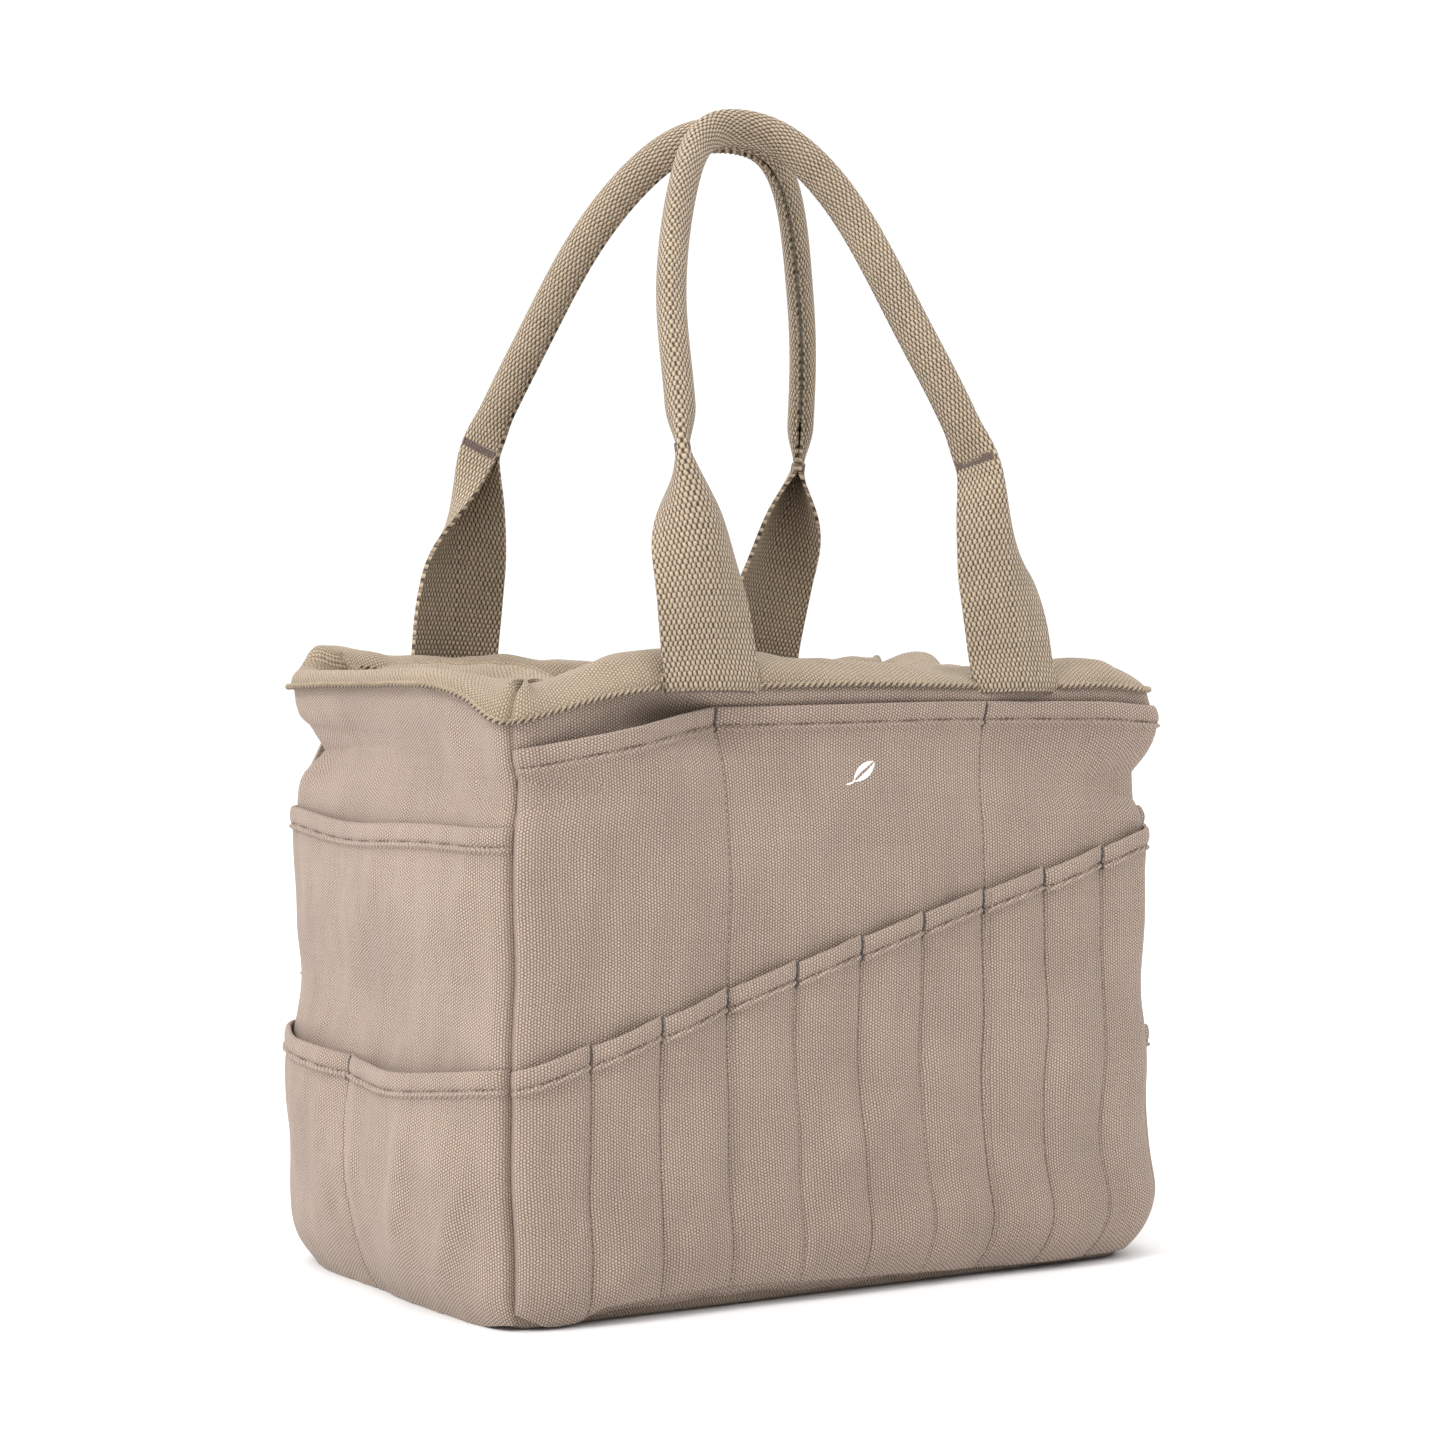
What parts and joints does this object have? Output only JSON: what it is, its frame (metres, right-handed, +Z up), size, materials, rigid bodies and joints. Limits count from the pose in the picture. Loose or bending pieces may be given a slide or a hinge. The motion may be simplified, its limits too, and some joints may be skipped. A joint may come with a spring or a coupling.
{
  "type": "garden tool bag",
  "caption": "Canvas garden tool bag with pockets on every side, a slanted row of tool slots, a webbing collar round the mouth and rolled webbing carry handles.",
  "frame": {"origin": "centre of the bag's underside, on the ground", "axes": "+X along the bag's length, to the right seen from the front; +Y towards the back; +Z up. The front, with the slanted row of slots, faces -Y"},
  "size_m": [0.3774, 0.2494, 0.5699],
  "materials": {
    "canvas": "taupe plain-weave cotton canvas",
    "binding": "folded and topstitched canvas hem",
    "webbing": "ribbed khaki cotton webbing",
    "thread": "grey-brown sewing thread",
    "tape": "plain seam tape",
    "board": "matt stiffening board",
    "cord": "soft cotton filler cord"
  },
  "bodies": {
    "bag": {"front_panel": "canvas", "back_panel": "canvas", "left_end_panel": "canvas", "right_end_panel": "canvas", "front_tall_pocket": "canvas", "front_slant_pocket": "canvas", "back_tall_pocket": "canvas", "back_low_pocket": "canvas", "left_mid_pocket": "canvas", "left_low_pocket": "canvas", "right_mid_pocket": "canvas", "right_low_pocket": "canvas", "base_panel": "canvas", "base_cover": "canvas", "front_tall_pocket_binding": "binding", "front_slant_pocket_binding": "binding", "back_tall_pocket_binding": "binding", "back_low_pocket_binding": "binding", "left_mid_pocket_binding": "binding", "left_low_pocket_binding": "binding", "right_mid_pocket_binding": "binding", "right_low_pocket_binding": "binding", "front_slant_pocket_seam_1": "thread", "front_slant_pocket_seam_2": "thread", "front_slant_pocket_seam_3": "thread", "front_slant_pocket_seam_4": "thread", "front_slant_pocket_seam_5": "thread", "front_slant_pocket_seam_6": "thread", "front_slant_pocket_seam_7": "thread", "front_slant_pocket_seam_8": "thread", "front_slant_pocket_seam_9": "thread", "front_tall_pocket_seam_1": "thread", "front_tall_pocket_seam_2": "thread", "back_tall_pocket_seam_1": "thread", "back_tall_pocket_seam_2": "thread", "back_low_pocket_seam_1": "thread", "back_low_pocket_seam_2": "thread", "back_low_pocket_seam_3": "thread", "left_low_pocket_seam": "thread", "right_low_pocket_seam": "thread", "front_left_seam_tape": "tape", "front_right_seam_tape": "tape", "back_left_seam_tape": "tape", "back_right_seam_tape": "tape", "base_board": "board", "rim_collar": "webbing"},
    "front_handle": {"front_handle_webbing": "webbing", "front_handle_core": "cord", "front_handle_tack_1": "thread", "front_handle_tack_2": "thread"},
    "back_handle": {"back_handle_webbing": "webbing", "back_handle_core": "cord", "back_handle_tack_1": "thread", "back_handle_tack_2": "thread"}
  },
  "joints": [
    {"name": "front_handle_swing", "type": "hinge", "parent": "bag", "child": "front_handle", "pos_m": [0, -0.116, 0.28], "axis": [1, 0, 0], "range_deg": [0, 155]},
    {"name": "back_handle_swing", "type": "hinge", "parent": "bag", "child": "back_handle", "pos_m": [0, 0.116, 0.28], "axis": [-1, 0, 0], "range_deg": [0, 155]}
  ]
}
